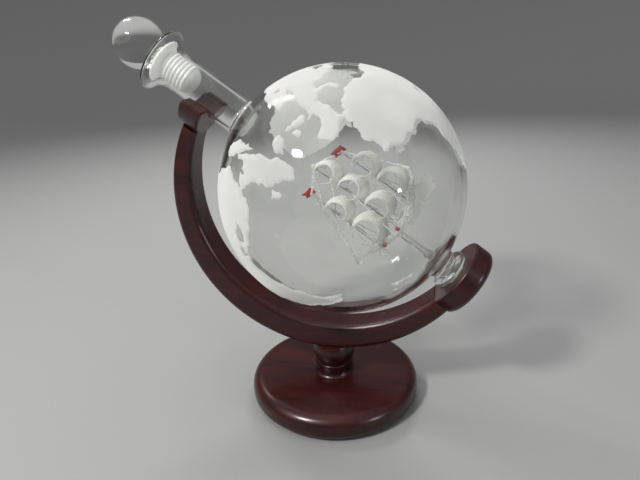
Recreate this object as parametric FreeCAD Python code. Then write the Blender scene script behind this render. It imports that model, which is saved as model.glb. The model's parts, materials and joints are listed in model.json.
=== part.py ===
"""Globe decanter on a wooden stand: a blown glass sphere with a glass ship inside,
held by its neck and its foot in a C-shaped arm, and closed by a ball stopper.

Row frame: +Z up, X in the plane of the arm with the neck towards -X, origin at the
centre of the base's underside.  Parts that lie on the globe's axis are drawn upright
in an axis frame and then tipped: the origin is the globe's centre, +Z runs out of the
neck ("along"), and +X points to the upper side of the axis ("over").
"""

import FreeCAD, Part
import math
import os

Vec = FreeCAD.Vector

# ---- driving dimensions, in millimetres and degrees --------------------------------

globe_radius = 70.0
glass_wall = 3.0
globe_centre = Vec(8.0, 0.0, 137.0)
axis_rise = 36.2  # the neck points this far above level

neck_radius = 10.8
neck_bore_radius = 8.6
neck_root_round = 4.0
bore_mouth_round = 2.0
lip_radius = 18.8
lip_top = 126.8
lip_start = 112.0

foot_radius = 12.0
foot_front = 74.6
foot_rim_back = 79.9
foot_tip = 82.2

base_radius = 54.0
base_top = 15.5
base_top_round = 7.0
base_bottom_round = 5.0
base_pad_thickness = 1.0
base_pad_radius = 46.0

pedestal_top = 36.6
pedestal_bead_radius = 13.5
pedestal_waist_radius = 12.0
pedestal_spigot_radius = 7.0
pedestal_spigot_depth = 5.0

arm_depth = 20.0
arm_inner_radius = 84.8
arm_inner_centre = Vec(3.3, 0.0, 137.0)
arm_outer_radius = 94.3
arm_outer_centre = Vec(0.0, 0.0, 130.1)
arm_edge_round = 3.5

cradle_radius = 21.8
cradle_front = 85.5
cradle_back = 99.0
cradle_seat = -21.0  # over the axis: where the arm's upper end face lies
cradle_prong_top = -4.5
cradle_notch_radius = 11.0

cup_radius = 21.2
cup_front = 80.3
cup_back = 93.3
cup_seat = -16.8  # over the axis: where the arm's lower end face lies
cup_back_round = 4.5
cup_dish_radius = 12.4
cup_dish_floor_radius = 6.2
cup_dish_depth = 3.1
cup_felt_thickness = 0.7

dowel_radius = 2.5
dowel_glue_gap = 0.1
cradle_dowel_along = 90.5
cradle_dowel_span = (-29.0, -13.6)
cup_dowel_along = -85.5
cup_dowel_span = (-27.0, -9.0)

screw_core_radius = 1.9
screw_thread_radius = 2.5
screw_thread_pitch = 2.2
screw_head_radius = 5.0
screw_head_height = 3.0
screw_tip = 47.0
screw_clearance_radius = 2.8

stopper_ball_radius = 14.3
stopper_ball_along = 141.7
stopper_stem_radius = 5.0
sleeve_tip = 101.5
sleeve_collar_bottom = 123.2
sleeve_collar_top = 125.6
sleeve_collar_radius = 12.3
sleeve_body_radius = 7.8
sleeve_rib_radius = 8.5
sleeve_rib_count = 7

post_radius = 1.6
post_root_radius = 4.5
post_along = (-67.6, -40.5)  # from inside the globe's wall to inside the hull

mast_radius = 0.9
mast_flare = 0.25
stay_radius = 0.35
yard_radius = 0.5
sail_thickness = 0.8
sail_half_angle = 108.0

# Hull stations: (over, along, half depth, half breadth)
hull_stations = (
    (-22.0, -34.8, 0.9, 1.2),
    (-17.0, -36.6, 2.0, 3.6),
    (-10.0, -38.2, 2.6, 5.2),
    (0.0, -39.0, 2.9, 6.0),
    (10.0, -38.0, 2.9, 6.0),
    (19.0, -34.8, 2.7, 5.2),
    (26.0, -30.5, 2.2, 4.2),
    (30.0, -27.5, 1.2, 2.5),
)

# Masts: (foot along, foot over, top along, top over)
masts = {
    "fore_mast": (-38.0, -13.2, 11.9, -12.5),
    "main_mast": (-39.0, 3.0, 20.7, 1.8),
    "mizzen_mast": (-34.5, 19.6, 11.7, 18.6),
}

# Sails: (along, over, radius, breadth) of each curled sheet, top sail first
sails = {
    "fore_sails": (
        (-6.0, -10.1, 8.4, 16.0),
        (-26.5, -8.4, 10.2, 20.0),
    ),
    "main_sails": (
        (12.0, 4.2, 7.6, 14.0),
        (-4.6, 5.6, 8.2, 17.0),
        (-23.0, 6.6, 8.8, 20.0),
    ),
    "mizzen_sails": (
        (-2.8, 20.9, 8.0, 15.0),
        (-20.2, 21.9, 9.0, 18.0),
    ),
}

bowsprit_heel = (-35.2, -20.5)
bowsprit_tip = (-34.4, -27.4)
bowsprit_ring_radius = 1.9
bowsprit_ring_wire = 0.6
stern_curl_path = ((-28.2, 28.6), (-25.5, 31.8), (-22.4, 33.0), (-19.6, 31.4))
stern_curl_radius = 0.8

bead_radius = 1.3
bead_places = ((-38.9, -9.4), (-38.2, 3.1))
bead_side = 5.6
anchor_ring_place = (-42.2, -15.5)
anchor_ring_radius = 2.0
anchor_ring_wire = 0.5

pennant_length = 9.0
pennant_hoist = 4.4
pennant_thickness = 0.6
pennant_masts = ("fore_mast", "mizzen_mast")

# ---- helpers ------------------------------------------------------------------------

ROW_Y = Vec(0, 1, 0)
ROW_Z = Vec(0, 0, 1)
ORIGIN = Vec(0, 0, 0)
FAR = 300.0  # longer than the whole object


def tipped(shape):
    """Move a shape from the axis frame to its place in the row frame."""
    moved = shape.copy()
    moved.rotate(ORIGIN, ROW_Y, axis_rise - 90.0)
    moved.translate(globe_centre)
    return moved


def axis_point(along, over, side=0.0):
    return Vec(over, side, along)


def line(start, end):
    return Part.LineSegment(start, end).toShape()


def arc(start, middle, end):
    return Part.Arc(start, middle, end).toShape()


def round_arc(centre, radius, from_degrees, to_degrees):
    """An arc in the XZ plane, angles measured from +X towards +Z."""
    angles = (from_degrees, (from_degrees + to_degrees) / 2.0, to_degrees)
    points = []
    for angle in angles:
        turn = math.radians(angle)
        points.append(centre + Vec(radius * math.cos(turn), 0, radius * math.sin(turn)))
    return arc(*points)


def smooth(points):
    curve = Part.BSplineCurve()
    curve.interpolate(points)
    return curve.toShape()


def turned(edges):
    """The solid of revolution about Z of a closed outline in the XZ plane."""
    face = Part.Face(Part.Wire(edges))
    return face.revolve(ORIGIN, ROW_Z, 360)


def outline(points):
    """Straight edges through the points, closed back to the first."""
    edges = []
    for index, start in enumerate(points):
        edges.append(line(start, points[(index + 1) % len(points)]))
    return edges


def rod(start, end, radius):
    return Part.makeCylinder(radius, (end - start).Length, start, end - start)


def joined(shapes):
    """One shape of all the pieces, fused where they meet."""
    result = shapes[0]
    if len(shapes) > 1:
        result = result.multiFuse(shapes[1:])
    return result


def block(along, over, side):
    """A box in the axis frame from three (low, high) pairs."""
    corner = Vec(over[0], side[0], along[0])
    return Part.makeBox(over[1] - over[0], side[1] - side[0], along[1] - along[0], corner)


def bent_rod(points, radius):
    """A round rod swept along a smooth curve, with flat ends."""
    path = Part.Wire([smooth(points)])
    start_direction = points[1] - points[0]
    section = Part.Wire([Part.makeCircle(radius, points[0], start_direction)])
    return path.makePipeShell([section], True, True)


# ---- wooden stand -------------------------------------------------------------------


def make_base_disc():
    bottom = base_pad_thickness
    low_round_z = bottom + base_bottom_round
    high_round_z = base_top - base_top_round
    low_flat = base_radius - base_bottom_round
    high_flat = base_radius - base_top_round
    edges = [
        line(Vec(0, 0, bottom), Vec(low_flat, 0, bottom)),
        round_arc(Vec(low_flat, 0, low_round_z), base_bottom_round, -90, 0),
        line(Vec(base_radius, 0, low_round_z), Vec(base_radius, 0, high_round_z)),
        round_arc(Vec(high_flat, 0, high_round_z), base_top_round, 0, 90),
        line(Vec(high_flat, 0, base_top), Vec(0, 0, base_top)),
        line(Vec(0, 0, base_top), Vec(0, 0, bottom)),
    ]
    disc = turned(edges)
    spigot_hole = Part.makeCylinder(
        pedestal_spigot_radius + dowel_glue_gap,
        pedestal_spigot_depth + dowel_glue_gap,
        Vec(0, 0, base_top - pedestal_spigot_depth - dowel_glue_gap),
    )
    screw_hole = Part.makeCylinder(screw_clearance_radius, base_top, Vec(0, 0, 0))
    head_sink = Part.makeCone(
        screw_head_radius + 0.6,
        screw_clearance_radius,
        screw_head_height,
        Vec(0, 0, bottom),
    )
    return disc.cut(joined([spigot_hole, screw_hole, head_sink]))


def make_base_felt_pad():
    return Part.makeCylinder(base_pad_radius, base_pad_thickness)


def make_pedestal():
    """A turned spool: a waist on the base, a quirk, and a bead under the arm."""
    waist_top = 22.6
    quirk_radius = 11.2
    bead_bottom = 24.2
    spigot_bottom = base_top - pedestal_spigot_depth
    flare_radius = pedestal_waist_radius + 1.6
    bead_mouth_radius = 12.2
    edges = [
        line(Vec(screw_clearance_radius, 0, spigot_bottom), Vec(pedestal_spigot_radius, 0, spigot_bottom)),
        line(Vec(pedestal_spigot_radius, 0, spigot_bottom), Vec(pedestal_spigot_radius, 0, base_top)),
        line(Vec(pedestal_spigot_radius, 0, base_top), Vec(flare_radius, 0, base_top)),
        smooth(
            [
                Vec(flare_radius, 0, base_top),
                Vec(pedestal_waist_radius + 0.3, 0, base_top + 1.5),
                Vec(pedestal_waist_radius, 0, base_top + 4.0),
                Vec(pedestal_waist_radius + 0.2, 0, waist_top),
            ]
        ),
        arc(
            Vec(pedestal_waist_radius + 0.2, 0, waist_top),
            Vec(quirk_radius, 0, (waist_top + bead_bottom) / 2.0),
            Vec(pedestal_waist_radius, 0, bead_bottom),
        ),
        arc(
            Vec(pedestal_waist_radius, 0, bead_bottom),
            Vec(pedestal_bead_radius, 0, (bead_bottom + pedestal_top) / 2.0),
            Vec(bead_mouth_radius, 0, pedestal_top),
        ),
        line(Vec(bead_mouth_radius, 0, pedestal_top), Vec(screw_clearance_radius, 0, pedestal_top)),
        line(Vec(screw_clearance_radius, 0, pedestal_top), Vec(screw_clearance_radius, 0, spigot_bottom)),
    ]
    return turned(edges)


def make_base_screw():
    """A countersunk wood screw up through the base and the pedestal into the arm."""
    bottom = base_pad_thickness + 0.2
    head_top = bottom + screw_head_height
    thread_start = pedestal_top - screw_thread_pitch
    points = [Vec(0, 0, bottom), Vec(screw_head_radius, 0, bottom), Vec(screw_core_radius, 0, head_top)]
    crest = thread_start
    while crest < screw_tip - 2.0 * screw_thread_pitch:
        points.append(Vec(screw_core_radius, 0, crest))
        points.append(Vec(screw_thread_radius, 0, crest + 0.35 * screw_thread_pitch))
        points.append(Vec(screw_core_radius, 0, crest + 0.7 * screw_thread_pitch))
        crest += screw_thread_pitch
    points.append(Vec(screw_core_radius, 0, screw_tip - 2.0 * screw_thread_pitch))
    points.append(Vec(0, 0, screw_tip))
    screw = turned(outline(points))
    slot_width = 1.2
    slot_length = 1.3 * screw_head_radius
    slot_depth = 1.4
    for length, width in ((slot_length, slot_width), (slot_width, slot_length)):
        corner = Vec(-length / 2.0, -width / 2.0, bottom)
        screw = screw.cut(Part.makeBox(length, width, slot_depth, corner))
    return screw


def arm_blank():
    """The crescent between an outer and a smaller, raised inner circle."""
    half = arm_depth / 2.0
    outer = Part.makeCylinder(arm_outer_radius, arm_depth, arm_outer_centre - ROW_Y * half, ROW_Y)
    inner = Part.makeCylinder(arm_inner_radius, arm_depth, arm_inner_centre - ROW_Y * half, ROW_Y)
    return outer.cut(inner)


def long_arm_edges(arm):
    """The four curved edges that run from end to end."""
    found = []
    for edge in arm.Edges:
        is_round = isinstance(edge.Curve, Part.Circle)
        if is_round and edge.Curve.Radius > arm_inner_radius - 1.0:
            found.append(edge)
    return found


def dowel(along, span, radius):
    start = axis_point(along, span[0])
    end = axis_point(along, span[1])
    return tipped(rod(start, end, radius))


def dowel_hole(along, span):
    grown = (span[0] - dowel_glue_gap, span[1] + dowel_glue_gap)
    return dowel(along, grown, dowel_radius + dowel_glue_gap)


def make_arm():
    side = (-FAR, FAR)
    above_cradle_end = tipped(block((0, FAR), (cradle_seat, FAR), side))
    above_cup_end = tipped(block((-FAR, 0), (cup_seat, FAR), side))
    arm = arm_blank().cut(joined([above_cradle_end, above_cup_end]))
    arm = arm.makeFillet(arm_edge_round, long_arm_edges(arm))
    flat = Part.makeBox(FAR, FAR, FAR, Vec(-FAR / 2.0, -FAR / 2.0, pedestal_top - FAR))
    pilot = Part.makeCylinder(
        screw_core_radius,
        screw_tip - pedestal_top + 1.0,
        Vec(0, 0, pedestal_top),
    )
    holes = [
        flat,
        pilot,
        dowel_hole(cradle_dowel_along, cradle_dowel_span),
        dowel_hole(cup_dowel_along, cup_dowel_span),
    ]
    for hole in holes:
        arm = arm.cut(hole)
    return arm


def rim_edges(shape, along, radius):
    """Round edges of about the given radius that lie at one place along the axis."""
    found = []
    for edge in shape.Edges:
        is_round = isinstance(edge.Curve, Part.Circle)
        if is_round and abs(edge.Curve.Radius - radius) < 0.01:
            if abs(edge.Curve.Center.z - along) < 0.01:
                found.append(edge)
    return found


def make_neck_cradle():
    """A turned disc with a flat on the arm's end and an open notch for the neck."""
    thickness = cradle_back - cradle_front
    disc = Part.makeCylinder(cradle_radius, thickness, Vec(0, 0, cradle_front))
    rim_round = 1.6
    rims = rim_edges(disc, cradle_front, cradle_radius) + rim_edges(disc, cradle_back, cradle_radius)
    disc = disc.makeFillet(rim_round, rims)
    span = (cradle_front - 1.0, cradle_back + 1.0)
    side = (-FAR, FAR)
    notch = Part.makeCylinder(cradle_notch_radius, span[1] - span[0], Vec(0, 0, span[0]))
    cradle = disc.cut(block(span, (cradle_prong_top, FAR), side))
    cradle = cradle.cut(block(span, (-FAR, cradle_seat), side))
    cradle = cradle.cut(notch)
    prong_round = 1.2
    top_edges = []
    for edge in cradle.Edges:
        low = edge.BoundBox.XMin
        if abs(low - cradle_prong_top) < 0.01 and abs(edge.BoundBox.XMax - low) < 0.01:
            top_edges.append(edge)
    cradle = cradle.makeFillet(prong_round, top_edges)
    return tipped(cradle).cut(dowel_hole(cradle_dowel_along, cradle_dowel_span))


def make_foot_cup():
    """A turned disc behind the foot, with a shallow dish that the foot can lift out of."""
    thickness = cup_back - cup_front
    disc = Part.makeCylinder(cup_radius, thickness, Vec(0, 0, -cup_back))
    disc = disc.makeFillet(cup_back_round, rim_edges(disc, -cup_back, cup_radius))
    front_round = 1.2
    disc = disc.makeFillet(front_round, rim_edges(disc, -cup_front, cup_radius))
    dish = Part.makeCone(
        cup_dish_floor_radius,
        cup_dish_radius,
        cup_dish_depth,
        Vec(0, 0, -cup_front - cup_dish_depth),
    )
    cup = disc.cut(dish)
    span = (-cup_back - 1.0, -cup_front + 1.0)
    cup = cup.cut(block(span, (-FAR, cup_seat), (-FAR, FAR)))
    return tipped(cup).cut(dowel_hole(cup_dowel_along, cup_dowel_span))


def make_cup_felt():
    floor = -cup_front - cup_dish_depth
    radius = cup_dish_floor_radius - 0.3
    return tipped(Part.makeCylinder(radius, cup_felt_thickness, Vec(0, 0, floor)))


# ---- glass decanter -----------------------------------------------------------------


def round_between(ball_radius, tube_radius, fillet):
    """Centre of a fillet that touches a ball from outside and a tube of smaller radius."""
    out = tube_radius + fillet
    return Vec(out, 0, math.sqrt((ball_radius + fillet) ** 2 - out**2))


def fillet_arc(ball_radius, tube_radius, fillet):
    """The fillet's arc from the ball to the tube, as (on the ball, middle, on the tube)."""
    centre = round_between(ball_radius, tube_radius, fillet)
    on_ball = centre * (ball_radius / (ball_radius + fillet))
    on_tube = Vec(tube_radius, 0, centre.z)
    towards = (on_ball - centre) + (on_tube - centre)
    middle = centre + towards * (fillet / towards.Length)
    return on_ball, middle, on_tube


def make_flask():
    """The sphere, its neck and the flared lip, as one wall of blown glass."""
    cavity_radius = globe_radius - glass_wall
    out_ball, out_middle, out_neck = fillet_arc(globe_radius, neck_radius, neck_root_round)
    in_ball, in_middle, in_neck = fillet_arc(cavity_radius, neck_bore_radius, bore_mouth_round)
    lip_outside = [
        Vec(neck_radius, 0, lip_start),
        Vec(11.2, 0, 116.4),
        Vec(13.0, 0, 120.4),
        Vec(16.0, 0, 123.3),
        Vec(lip_radius - 0.6, 0, lip_top - 1.9),
    ]
    lip_inside = [
        Vec(lip_radius - 0.8, 0, lip_top),
        Vec(15.0, 0, 125.2),
        Vec(11.4, 0, 121.9),
        Vec(9.3, 0, 118.2),
        Vec(neck_bore_radius, 0, lip_start + 2.0),
    ]
    edges = [
        arc(Vec(0, 0, -globe_radius), Vec(globe_radius, 0, 0), out_ball),
        arc(out_ball, out_middle, out_neck),
        line(out_neck, lip_outside[0]),
        smooth(lip_outside),
        arc(lip_outside[-1], Vec(lip_radius, 0, lip_top - 0.85), lip_inside[0]),
        smooth(lip_inside),
        line(lip_inside[-1], in_neck),
        arc(in_neck, in_middle, in_ball),
        arc(in_ball, Vec(cavity_radius, 0, 0), Vec(0, 0, -cavity_radius)),
        line(Vec(0, 0, -cavity_radius), Vec(0, 0, -globe_radius)),
    ]
    return tipped(turned(edges))


def make_foot_button():
    """A solid glass foot: a collar welded to the sphere, then a rimmed disc."""
    weld_depth = 1.2
    weld = weld_depth - globe_radius
    stem_radius = 7.4
    collar_radius = 9.2
    rim_middle = -(foot_front + foot_rim_back) / 2.0
    back_radius = cup_dish_radius - 1.4
    tip_radius = cup_dish_floor_radius - 0.5
    edges = [
        line(Vec(0, 0, weld), Vec(stem_radius, 0, weld)),
        line(Vec(stem_radius, 0, weld), Vec(stem_radius, 0, -70.2)),
        arc(Vec(stem_radius, 0, -70.2), Vec(collar_radius, 0, -71.6), Vec(stem_radius, 0, -73.0)),
        smooth([Vec(stem_radius, 0, -73.0), Vec(8.2, 0, -74.0), Vec(10.2, 0, -foot_front)]),
        arc(
            Vec(10.2, 0, -foot_front),
            Vec(foot_radius, 0, rim_middle),
            Vec(back_radius, 0, -foot_rim_back),
        ),
        line(Vec(back_radius, 0, -foot_rim_back), Vec(tip_radius, 0, -foot_tip)),
        line(Vec(tip_radius, 0, -foot_tip), Vec(0, 0, -foot_tip)),
        line(Vec(0, 0, -foot_tip), Vec(0, 0, weld)),
    ]
    return tipped(turned(edges))


# ---- glass ship ---------------------------------------------------------------------


def make_ship_post():
    """A rod from the weld on the sphere's inside to the keel, flared at the weld."""
    root, tip = post_along
    edges = [
        line(Vec(0, 0, root), Vec(post_root_radius, 0, root)),
        smooth(
            [
                Vec(post_root_radius, 0, root),
                Vec(2.6, 0, root + 2.6),
                Vec(post_radius, 0, root + 7.0),
            ]
        ),
        line(Vec(post_radius, 0, root + 7.0), Vec(post_radius, 0, tip)),
        line(Vec(post_radius, 0, tip), Vec(0, 0, tip)),
        line(Vec(0, 0, tip), Vec(0, 0, root)),
    ]
    return tipped(turned(edges))


def hull_section(over, along, half_depth, half_breadth):
    """A closed oval across the hull, drawn from the same point at every station."""
    corners = 12
    points = []
    for corner in range(corners):
        turn = 2.0 * math.pi * corner / corners
        side = half_breadth * math.sin(turn)
        points.append(axis_point(along + half_depth * math.cos(turn), over, side))
    curve = Part.BSplineCurve()
    curve.interpolate(points, True)
    return Part.Wire([curve.toShape()])


def make_ship_hull():
    sections = [hull_section(*station) for station in hull_stations]
    return tipped(Part.makeLoft(sections, True))


def make_mast(name):
    foot_along, foot_over, top_along, top_over = masts[name]
    foot = axis_point(foot_along, foot_over)
    top = axis_point(top_along, top_over)
    height = (top - foot).Length
    shaft = Part.makeCone(mast_radius + mast_flare, mast_radius - mast_flare, height, foot, top - foot)
    truck = Part.makeSphere(mast_radius + mast_flare, top)
    return tipped(joined([shaft, truck]))


def make_bowsprit():
    heel = axis_point(*bowsprit_heel)
    tip = axis_point(*bowsprit_tip)
    spar = rod(heel, tip, mast_radius)
    ring_centre = tip + (tip - heel).normalize() * bowsprit_ring_radius
    ring = Part.makeTorus(bowsprit_ring_radius, bowsprit_ring_wire, ring_centre, ROW_Y)
    return tipped(joined([spar, ring]))


def make_stern_curl():
    points = [axis_point(along, over) for along, over in stern_curl_path]
    return tipped(bent_rod(points, stern_curl_radius))


def sail_sheet(along, over, radius, breadth):
    """A sheet curled about Y, open on the bow side."""
    inside = radius - sail_thickness
    centre = axis_point(along, over)
    half = sail_half_angle
    start = math.radians(-half)
    end = math.radians(half)
    out_start = centre + Vec(radius * math.cos(start), 0, radius * math.sin(start))
    in_start = centre + Vec(inside * math.cos(start), 0, inside * math.sin(start))
    out_end = centre + Vec(radius * math.cos(end), 0, radius * math.sin(end))
    in_end = centre + Vec(inside * math.cos(end), 0, inside * math.sin(end))
    edges = [
        round_arc(centre, radius, -half, half),
        line(out_end, in_end),
        round_arc(centre, inside, half, -half),
        line(in_start, out_start),
    ]
    face = Part.Face(Part.Wire(edges))
    face.translate(-ROW_Y * (breadth / 2.0))
    return face.extrude(ROW_Y * breadth)


def make_sails(name):
    sheets = [sail_sheet(*sail) for sail in sails[name]]
    return tipped(Part.makeCompound(sheets))


def make_yards():
    """One spar across the top edge of each sail, resting on its mast."""
    spars = []
    overhang = 1.0
    for name in sails:
        for along, over, radius, breadth in sails[name]:
            turn = math.radians(sail_half_angle)
            middle_radius = radius - sail_thickness / 2.0
            spar_along = along + middle_radius * math.sin(turn)
            spar_over = over + middle_radius * math.cos(turn)
            reach = breadth / 2.0 + overhang
            start = axis_point(spar_along, spar_over, -reach)
            end = axis_point(spar_along, spar_over, reach)
            spars.append(rod(start, end, yard_radius))
    return tipped(Part.makeCompound(spars))


def mast_top(name):
    return axis_point(masts[name][2], masts[name][3])


def mast_point(name, share):
    """A point on the mast, share 0 at its foot and 1 at its top."""
    foot_along, foot_over, top_along, top_over = masts[name]
    foot = axis_point(foot_along, foot_over)
    top = axis_point(top_along, top_over)
    return foot + (top - foot) * share


def make_stays():
    """Fine glass threads: forestays to the bowsprit, and aft to the stern."""
    tip = axis_point(*bowsprit_tip)
    stern = axis_point(*stern_curl_path[-2])
    runs = [
        (mast_top("main_mast"), mast_top("fore_mast")),
        (mast_top("fore_mast"), tip),
        (mast_point("fore_mast", 0.72), tip),
        (mast_point("fore_mast", 0.5), tip),
        (mast_point("main_mast", 0.86), mast_point("fore_mast", 0.72)),
        (mast_top("main_mast"), mast_top("mizzen_mast")),
        (mast_top("mizzen_mast"), stern),
    ]
    threads = [rod(start, end, stay_radius) for start, end in runs]
    return tipped(joined(threads))


def make_pennants():
    """A swallow-tailed flag at each flagged mast top, flying towards the bow."""
    flags = []
    for name in pennant_masts:
        top = mast_top(name)
        hoist = Vec(0, 0, pennant_hoist)
        fly = Vec(-pennant_length, 0, 2.2)
        notch = fly * 0.68 + hoist * 0.5
        lower = top + Vec(0, -pennant_thickness / 2.0, -0.5)
        corners = [lower, lower + fly, lower + notch, lower + fly + hoist, lower + hoist]
        face = Part.Face(Part.Wire(outline(corners)))
        flags.append(face.extrude(ROW_Y * pennant_thickness))
    return tipped(Part.makeCompound(flags))


def make_hull_beads():
    beads = []
    for along, over in bead_places:
        beads.append(Part.makeSphere(bead_radius, axis_point(along, over, -bead_side)))
    return tipped(Part.makeCompound(beads))


def make_anchor_ring():
    centre = axis_point(*anchor_ring_place)
    return tipped(Part.makeTorus(anchor_ring_radius, anchor_ring_wire, centre, ROW_Y))


# ---- stopper ------------------------------------------------------------------------


def make_stopper_ball():
    """A glass ball on a stem that reaches down inside the sleeve."""
    stem_bottom = sleeve_tip + 3.0
    ball = Part.makeSphere(stopper_ball_radius, Vec(0, 0, stopper_ball_along))
    shoulder_bottom = sleeve_collar_top
    shoulder_top = shoulder_bottom + 5.0
    shoulder_radius = 7.0
    shoulder = Part.makeCone(
        stopper_stem_radius + 0.6,
        shoulder_radius,
        shoulder_top - shoulder_bottom,
        Vec(0, 0, shoulder_bottom),
    )
    stem = Part.makeCylinder(
        stopper_stem_radius,
        stopper_ball_along - stem_bottom,
        Vec(0, 0, stem_bottom),
    )
    return tipped(joined([ball, shoulder, stem]))


def make_stopper_sleeve():
    """A domed plastic sleeve with sealing ribs and a collar that sits in the lip."""
    dome_height = 4.0
    rib_bottom = sleeve_tip + dome_height
    pitch = (sleeve_collar_bottom - 1.2 - rib_bottom) / sleeve_rib_count
    edges = [
        arc(
            Vec(0, 0, sleeve_tip),
            Vec(5.6, 0, sleeve_tip + 1.1),
            Vec(sleeve_body_radius, 0, rib_bottom),
        )
    ]
    place = rib_bottom
    for _ in range(sleeve_rib_count):
        edges.append(
            arc(
                Vec(sleeve_body_radius, 0, place),
                Vec(sleeve_rib_radius, 0, place + pitch / 2.0),
                Vec(sleeve_body_radius, 0, place + pitch),
            )
        )
        place += pitch
    stem_hole_bottom = sleeve_tip + 3.0
    corners = [
        Vec(sleeve_body_radius, 0, place),
        Vec(sleeve_body_radius, 0, sleeve_collar_bottom),
        Vec(sleeve_collar_radius - 1.6, 0, sleeve_collar_bottom),
        Vec(sleeve_collar_radius, 0, sleeve_collar_bottom + 1.2),
        Vec(sleeve_collar_radius, 0, sleeve_collar_top - 0.5),
        Vec(sleeve_collar_radius - 0.5, 0, sleeve_collar_top),
        Vec(stopper_stem_radius, 0, sleeve_collar_top),
        Vec(stopper_stem_radius, 0, stem_hole_bottom),
        Vec(0, 0, stem_hole_bottom),
        Vec(0, 0, sleeve_tip),
    ]
    for start, end in zip(corners, corners[1:]):
        edges.append(line(start, end))
    return tipped(turned(edges))


# ---- all nodes ----------------------------------------------------------------------

nodes = {
    "base_disc": make_base_disc(),
    "base_felt_pad": make_base_felt_pad(),
    "base_screw": make_base_screw(),
    "pedestal": make_pedestal(),
    "arm": make_arm(),
    "neck_cradle": make_neck_cradle(),
    "cradle_dowel": dowel(cradle_dowel_along, cradle_dowel_span, dowel_radius),
    "foot_cup": make_foot_cup(),
    "cup_dowel": dowel(cup_dowel_along, cup_dowel_span, dowel_radius),
    "cup_felt": make_cup_felt(),
    "flask": make_flask(),
    "foot_button": make_foot_button(),
    "ship_post": make_ship_post(),
    "ship_hull": make_ship_hull(),
    "fore_mast": make_mast("fore_mast"),
    "main_mast": make_mast("main_mast"),
    "mizzen_mast": make_mast("mizzen_mast"),
    "bowsprit": make_bowsprit(),
    "stern_curl": make_stern_curl(),
    "fore_sails": make_sails("fore_sails"),
    "main_sails": make_sails("main_sails"),
    "mizzen_sails": make_sails("mizzen_sails"),
    "yards": make_yards(),
    "stays": make_stays(),
    "pennants": make_pennants(),
    "hull_beads": make_hull_beads(),
    "anchor_ring": make_anchor_ring(),
    "stopper_ball": make_stopper_ball(),
    "stopper_sleeve": make_stopper_sleeve(),
}

os.makedirs("parts", exist_ok=True)
for name, shape in nodes.items():
    shape.exportStep("parts/" + name + ".step")
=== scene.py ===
"""Looks of the globe decanter: lacquered stand, blown glass, etched map and lampworked ship."""

import json
import math
import random

import bmesh
import bpy
from mathutils import Matrix, Vector, noise
from mathutils.bvhtree import BVHTree
from mathutils.geometry import delaunay_2d_cdt


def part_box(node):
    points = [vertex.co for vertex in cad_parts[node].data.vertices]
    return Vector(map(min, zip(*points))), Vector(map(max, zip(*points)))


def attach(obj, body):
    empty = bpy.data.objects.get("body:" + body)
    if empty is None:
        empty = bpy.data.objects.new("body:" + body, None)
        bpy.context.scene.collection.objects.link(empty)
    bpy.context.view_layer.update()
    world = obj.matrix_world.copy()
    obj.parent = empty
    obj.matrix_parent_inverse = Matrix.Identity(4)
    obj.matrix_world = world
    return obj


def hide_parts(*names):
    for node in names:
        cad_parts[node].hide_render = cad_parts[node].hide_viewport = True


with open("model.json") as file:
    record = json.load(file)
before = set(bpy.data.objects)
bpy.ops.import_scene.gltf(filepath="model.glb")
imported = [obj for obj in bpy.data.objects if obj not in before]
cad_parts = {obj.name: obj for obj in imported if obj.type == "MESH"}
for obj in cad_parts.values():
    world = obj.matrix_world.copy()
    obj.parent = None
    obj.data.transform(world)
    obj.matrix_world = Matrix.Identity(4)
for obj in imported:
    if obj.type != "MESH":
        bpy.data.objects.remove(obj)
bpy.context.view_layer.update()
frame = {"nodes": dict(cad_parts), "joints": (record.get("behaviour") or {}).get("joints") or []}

# ---- the frame ------------------------------------------------------------------------

MM = 0.001  # the scene is in metres
nodes = frame["nodes"]

joint_axes = {joint["name"]: Vector(joint["axis"]) for joint in frame["joints"]}
ALONG = joint_axes["stopper_pull"].normalized()  # out of the neck
SIDE = Vector((0.0, 1.0, 0.0))
OVER = SIDE.cross(ALONG)  # upper side of the globe's axis

flask_low, flask_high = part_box("flask")
GLOBE_RADIUS = flask_high.y
GLOBE_CENTRE = Vector((flask_high.x - GLOBE_RADIUS, 0.0, flask_low.z + GLOBE_RADIUS))

# Most shapes are worked out as (along, over, side) in millimetres from the globe's centre.
IN_ALONG, IN_OVER, IN_SIDE = range(3)


def place(along, over, side=0.0):
    """A point given from the globe's centre, in millimetres along the axis, over it and sideways."""
    return GLOBE_CENTRE + (ALONG * along + OVER * over + SIDE * side) * MM


def axis_coordinates(point):
    """(along, over, side) of a point of the row frame, in millimetres from the globe's centre."""
    offset = (point - GLOBE_CENTRE) / MM
    return Vector((offset.dot(ALONG), offset.dot(OVER), offset.dot(SIDE)))


def span(points, axis):
    """Lowest and highest value of one coordinate."""
    values = [point[axis] for point in points]
    return min(values), max(values)


def middle_of(points):
    return sum(points, Vector()) / len(points)


def end_of(points, axis, pick):
    """Middle of a solid's last millimetre along one axis. pick is min or max."""
    last = pick(point[axis] for point in points)
    return middle_of([point for point in points if abs(point[axis] - last) < 1.0])


def islands(node):
    """The separate solids of a CAD node, each as a list of (along, over, side) points."""
    same_place = 0.001 * MM
    work = bmesh.new()
    work.from_mesh(nodes[node].data)
    bmesh.ops.remove_doubles(work, verts=work.verts, dist=same_place)
    seen = set()
    groups = []
    for first in work.verts:
        if first in seen:
            continue
        seen.add(first)
        reached = [first]
        group = []
        while reached:
            vertex = reached.pop()
            group.append(axis_coordinates(vertex.co))
            for link in vertex.link_edges:
                other = link.other_vert(vertex)
                if other not in seen:
                    seen.add(other)
                    reached.append(other)
        groups.append(group)
    work.free()
    # Sorted by place, so that each solid gets the same random draws in every run.
    groups.sort(key=lambda group: [round(value, 1) for value in middle_of(group)])
    return groups


# ---- mesh helpers ---------------------------------------------------------------------


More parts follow.
